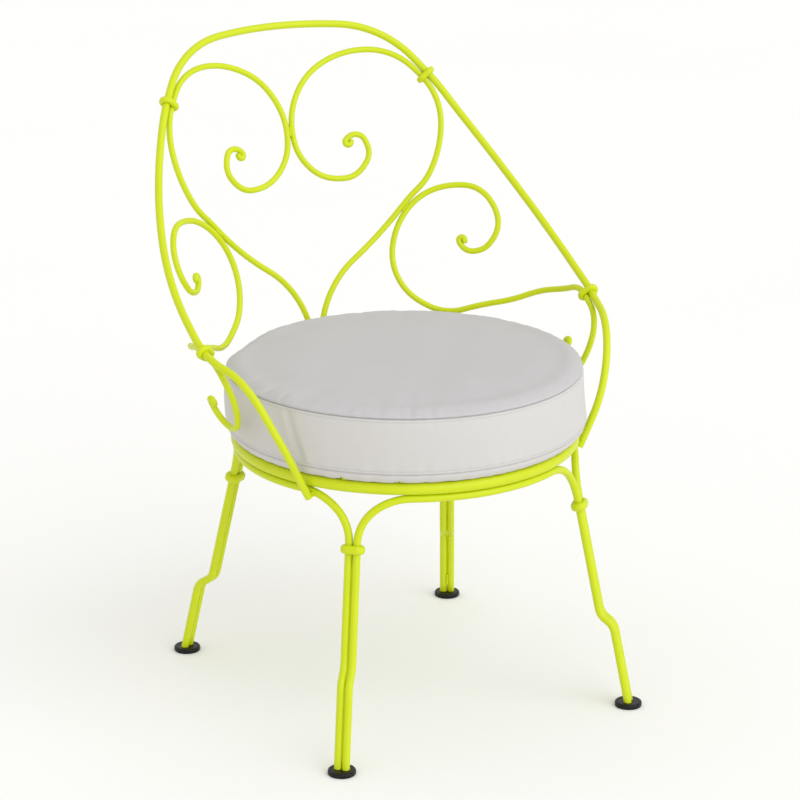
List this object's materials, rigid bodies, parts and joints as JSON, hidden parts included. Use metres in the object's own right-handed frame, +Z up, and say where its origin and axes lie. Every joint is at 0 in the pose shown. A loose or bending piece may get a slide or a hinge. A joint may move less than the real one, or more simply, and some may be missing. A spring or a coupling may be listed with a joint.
{
  "type": "garden armchair",
  "caption": "Garden armchair of bent and welded lime-coated rod, with a heart-scroll back, hooped arms, splayed rod legs on black glides and a loose round box cushion.",
  "frame": {"origin": "on the floor, below the middle of the chair's bounding box", "axes": "+Z up, the chair faces -Y, the sitter's left is +X; the chair is the same on both sides of the YZ plane"},
  "size_m": [0.6028, 0.6041, 0.844],
  "materials": {
    "lime_coat": "satin powder coat",
    "glide_plastic": "satin moulded",
    "foot_plate_steel": "black electro-coat",
    "foam": "cut foam",
    "cushion_cloth": "matt woven cloth"
  },
  "bodies": {
    "chair_frame": {"seat_ring": "lime_coat", "seat_bars": "lime_coat", "left_leg_arch": "lime_coat", "rear_leg_arch": "lime_coat", "right_leg_arch": "lime_coat", "front_leg_arch": "lime_coat", "front_left_leg_collar": "lime_coat", "front_left_glide": "glide_plastic", "front_left_foot_plate": "foot_plate_steel", "front_right_leg_collar": "lime_coat", "front_right_glide": "glide_plastic", "front_right_foot_plate": "foot_plate_steel", "rear_left_leg_collar": "lime_coat", "rear_left_glide": "glide_plastic", "rear_left_foot_plate": "foot_plate_steel", "rear_right_leg_collar": "lime_coat", "rear_right_glide": "glide_plastic", "rear_right_foot_plate": "foot_plate_steel", "back_hoop": "lime_coat", "left_heart_scroll": "lime_coat", "left_side_scroll": "lime_coat", "left_upper_collar": "lime_coat", "left_lower_collar": "lime_coat", "right_heart_scroll": "lime_coat", "right_side_scroll": "lime_coat", "right_upper_collar": "lime_coat", "right_lower_collar": "lime_coat"},
    "cushion": {"cushion_foam": "foam", "cover_top": "cushion_cloth", "cover_band": "cushion_cloth", "cover_bottom": "cushion_cloth"}
  },
  "joints": [
    {"name": "cushion_lift", "type": "slide", "parent": "chair_frame", "child": "cushion", "axis": [0, 0, 1], "range_m": [0, 0.25]}
  ]
}
